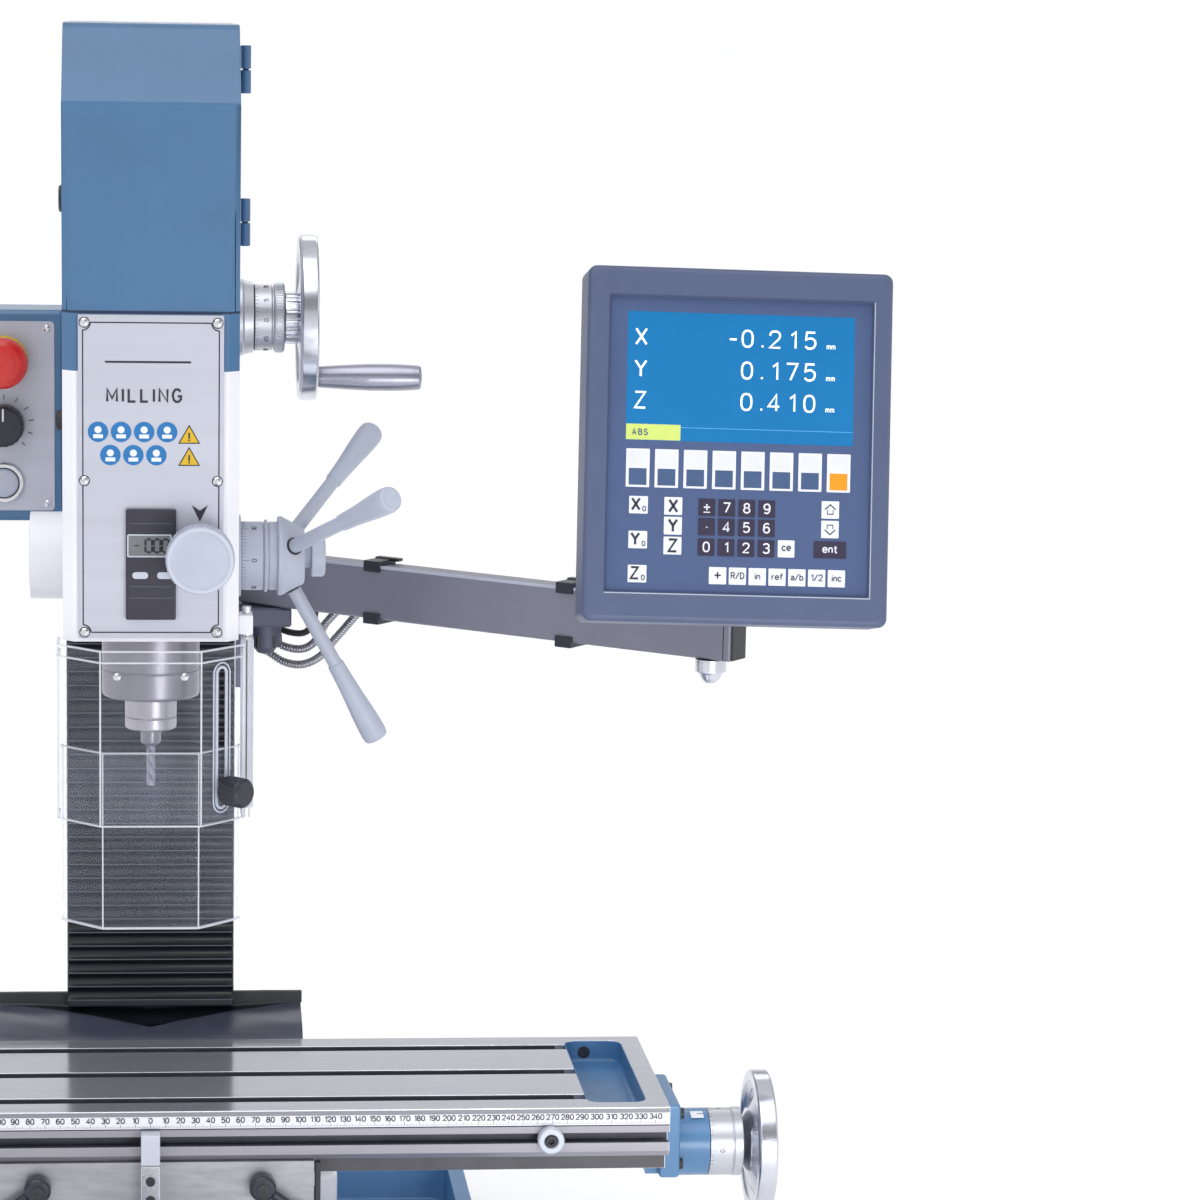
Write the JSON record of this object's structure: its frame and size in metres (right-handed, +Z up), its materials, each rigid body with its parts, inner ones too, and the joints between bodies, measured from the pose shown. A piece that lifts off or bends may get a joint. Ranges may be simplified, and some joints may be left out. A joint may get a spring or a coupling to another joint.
{
  "type": "vertical milling machine",
  "caption": "Bench vertical milling machine with compound table, dovetail column, tilting head, quill lever feed, chip guard and a position readout on an arm.",
  "frame": {"origin": "underside of the chip tray, straight below the spindle axis", "axes": "+X along the table to the operator's right, +Y back towards the column, +Z up"},
  "size_m": [0.9252, 0.617, 0.916],
  "materials": {
    "blue_paint": "semi-gloss sprayed paint",
    "white_paint": "semi-gloss sprayed paint over casting",
    "machined_iron": "ground and milled iron",
    "ground_steel": "ground",
    "polished_steel": "polished",
    "brushed_aluminium": "brushed satin",
    "black_steel": "satin black coating",
    "black_rubber": "matte",
    "black_plastic": "moulded satin",
    "grey_plastic": "moulded gloss",
    "console_plastic": "fine textured moulding",
    "red_plastic": "moulded gloss",
    "clear_plastic": "clear polished sheet",
    "cable_armour": "interlocked steel sleeve"
  },
  "bodies": {
    "machine_base": {"chip_tray": "blue_paint", "base_casting": "white_paint", "column": "white_paint", "column_bellows": "black_rubber", "rear_way_sheet": "black_rubber", "y_screw_bracket": "blue_paint", "y_scale": "black_steel", "dro_arm_bracket": "black_steel", "control_box": "blue_paint"},
    "saddle": {"saddle": "machined_iron", "table_stop_block": "ground_steel"},
    "table": {"table": "machined_iron", "right_end_bracket": "blue_paint", "left_end_bracket": "blue_paint"},
    "x_screw": {"x_leadscrew": "ground_steel", "x_handwheel_right": "polished_steel", "x_handwheel_left": "polished_steel", "x_dial_right": "brushed_aluminium", "x_dial_left": "brushed_aluminium"},
    "y_screw": {"y_leadscrew": "ground_steel", "y_handwheel": "polished_steel"},
    "z_wheel": {"z_handwheel": "polished_steel", "z_dial": "brushed_aluminium"},
    "z_grip": {"z_handwheel_grip": "grey_plastic"},
    "z_screw": {"z_leadscrew": "ground_steel"},
    "carriage": {"head_carriage": "white_paint"},
    "head": {"head_casting": "white_paint", "drive_housing": "blue_paint", "drive_motor": "black_steel", "drive_belt": "black_rubber", "front_panel": "brushed_aluminium", "depth_readout": "black_plastic", "guard_post": "black_steel"},
    "cover": {"cover_door": "blue_paint"},
    "motor_pulley": {"motor_pulley": "brushed_aluminium"},
    "spindle_pulley": {"spindle_pulley": "brushed_aluminium"},
    "quill": {"quill": "ground_steel"},
    "spindle": {"spindle": "polished_steel", "end_mill": "ground_steel"},
    "feed": {"feed_hub": "grey_plastic", "feed_lever_1": "grey_plastic", "feed_lever_2": "grey_plastic", "feed_lever_3": "grey_plastic"},
    "fine_feed": {"fine_feed_knob": "grey_plastic"},
    "guard": {"upper_shield": "clear_plastic"},
    "lower_guard": {"lower_shield": "clear_plastic"},
    "guard_knob": {"shield_knob": "black_plastic"},
    "x_lock_right": {"x_lock_lever_right": "black_plastic"},
    "x_lock_left": {"x_lock_lever_left": "black_plastic"},
    "stop_right": {"table_stop_right": "ground_steel"},
    "stop_left": {"table_stop_left": "ground_steel"},
    "arm": {"dro_arm": "black_steel", "x_scale_cable": "cable_armour", "y_scale_cable": "cable_armour", "z_scale_cable": "cable_armour"},
    "yoke": {"dro_yoke": "black_steel"},
    "console": {"dro_console": "console_plastic"},
    "emergency_stop": {"emergency_stop_button": "red_plastic"},
    "speed": {"speed_knob": "black_plastic"},
    "start": {"start_switch": "grey_plastic"}
  },
  "joints": [
    {"name": "y_handwheel_turn", "type": "hinge", "parent": "machine_base", "child": "y_screw", "pos_m": [0, -0.24, 0.072], "axis": [0, 1, 0], "range_deg": [-9460, 4960]},
    {"name": "saddle_slide", "type": "slide", "parent": "machine_base", "child": "saddle", "axis": [0, 1, 0], "range_m": [-0.105, 0.055], "deforming": ["rear_way_sheet"]},
    {"name": "table_slide", "type": "slide", "parent": "saddle", "child": "table", "axis": [1, 0, 0], "range_m": [-0.23, 0.23]},
    {"name": "x_handwheel_turn", "type": "hinge", "parent": "table", "child": "x_screw", "pos_m": [0, 0, 0.1484], "axis": [1, 0, 0], "range_deg": [-20710, 20710]},
    {"name": "z_handwheel_turn", "type": "hinge", "parent": "machine_base", "child": "z_wheel", "pos_m": [0.1, 0.225, 0.705], "axis": [1, 0, 0], "range_deg": [-10360, 6760]},
    {"name": "z_grip_spin", "type": "hinge", "parent": "z_wheel", "child": "z_grip", "pos_m": [0.16, 0.225, 0.662], "axis": [1, 0, 0], "continuous": true},
    {"name": "z_screw_turn", "type": "hinge", "parent": "machine_base", "child": "z_screw", "pos_m": [0, 0.225, 0.5], "axis": [0, 0, 1], "range_deg": [-10360, 6760]},
    {"name": "head_slide", "type": "slide", "parent": "machine_base", "child": "carriage", "axis": [0, 0, 1], "range_m": [-0.115, 0.075], "deforming": ["column_bellows"]},
    {"name": "head_tilt", "type": "hinge", "parent": "carriage", "child": "head", "pos_m": [0, 0.106, 0.622], "axis": [0, 1, 0], "range_deg": [-45, 45]},
    {"name": "cover_swing", "type": "hinge", "parent": "head", "child": "cover", "pos_m": [0.063, 0.04, 0.82], "axis": [0, 0, 1], "range_deg": [0, 110]},
    {"name": "spindle_spin", "type": "hinge", "parent": "quill", "child": "spindle", "pos_m": [0, 0, 0.5], "axis": [0, 0, 1], "continuous": true},
    {"name": "spindle_pulley_spin", "type": "hinge", "parent": "head", "child": "spindle_pulley", "pos_m": [0, 0, 0.82], "axis": [0, 0, 1], "continuous": true},
    {"name": "motor_pulley_spin", "type": "hinge", "parent": "head", "child": "motor_pulley", "pos_m": [0, 0.093, 0.82], "axis": [0, 0, 1], "continuous": true},
    {"name": "feed_turn", "type": "hinge", "parent": "head", "child": "feed", "pos_m": [0.08, 0.043, 0.556], "axis": [1, 0, 0], "range_deg": [-1, 288]},
    {"name": "quill_feed", "type": "slide", "parent": "head", "child": "quill", "axis": [0, 0, -1], "range_m": [0, 0.05]},
    {"name": "fine_feed_turn", "type": "hinge", "parent": "head", "child": "fine_feed", "pos_m": [0.032, -0.08, 0.572], "axis": [0, 1, 0], "continuous": true},
    {"name": "guard_swing", "type": "hinge", "parent": "head", "child": "guard", "pos_m": [0.064, -0.028, 0.45], "axis": [0, 0, 1], "range_deg": [0, 100]},
    {"name": "lower_shield_slide", "type": "slide", "parent": "guard", "child": "lower_guard", "axis": [0, 0, 1], "range_m": [0, 0.068]},
    {"name": "guard_knob_turn", "type": "hinge", "parent": "lower_guard", "child": "guard_knob", "pos_m": [0.046, -0.0765, 0.417], "axis": [0.7071, -0.7071, 0], "range_deg": [-180, 180]},
    {"name": "x_lock_right_turn", "type": "hinge", "parent": "saddle", "child": "x_lock_right", "pos_m": [0.075, -0.09, 0.149], "axis": [0, 1, 0], "range_deg": [-30, 30]},
    {"name": "x_lock_left_turn", "type": "hinge", "parent": "saddle", "child": "x_lock_left", "pos_m": [-0.075, -0.09, 0.149], "axis": [0, 1, 0], "range_deg": [-30, 30]},
    {"name": "stop_right_slide", "type": "slide", "parent": "table", "child": "stop_right", "axis": [1, 0, 0], "range_m": [-0.2, 0.06]},
    {"name": "stop_left_slide", "type": "slide", "parent": "table", "child": "stop_left", "axis": [1, 0, 0], "range_m": [-0.06, 0.2]},
    {"name": "readout_arm_swing", "type": "hinge", "parent": "machine_base", "child": "arm", "pos_m": [0.086, 0.285, 0.5], "axis": [0, 0, 1], "range_deg": [-8, 70], "deforming": ["x_scale_cable", "y_scale_cable", "z_scale_cable"]},
    {"name": "readout_yoke_turn", "type": "hinge", "parent": "arm", "child": "yoke", "pos_m": [0.3896, 0.0454, 0.525], "axis": [0, 0, 1], "range_deg": [-45, 45]},
    {"name": "readout_tilt", "type": "hinge", "parent": "yoke", "child": "console", "pos_m": [0.3896, 0.014, 0.641], "axis": [1, 0, 0], "range_deg": [-15, 20]},
    {"name": "emergency_stop_press", "type": "slide", "parent": "machine_base", "child": "emergency_stop", "axis": [0, 1, 0], "range_m": [0, 0.004]},
    {"name": "speed_turn", "type": "hinge", "parent": "machine_base", "child": "speed", "pos_m": [-0.105, 0.175, 0.63], "axis": [0, 1, 0], "range_deg": [0, 270]},
    {"name": "start_press", "type": "slide", "parent": "machine_base", "child": "start", "axis": [0, 1, 0], "range_m": [0, 0.003], "stiffness_N_per_m": 300}
  ],
  "couplings": [
    {"joint": "y_handwheel_turn", "follows": "saddle_slide", "rad_per_m": 1570.8},
    {"joint": "x_handwheel_turn", "follows": "table_slide", "rad_per_m": 1570.8},
    {"joint": "z_handwheel_turn", "follows": "head_slide", "rad_per_m": 1570.8},
    {"joint": "z_screw_turn", "follows": "head_slide", "rad_per_m": 1570.8},
    {"joint": "spindle_pulley_spin", "follows": "spindle_spin", "ratio": 1},
    {"joint": "motor_pulley_spin", "follows": "spindle_spin", "ratio": 1.5},
    {"joint": "feed_turn", "follows": "quill_feed", "rad_per_m": 100}
  ]
}
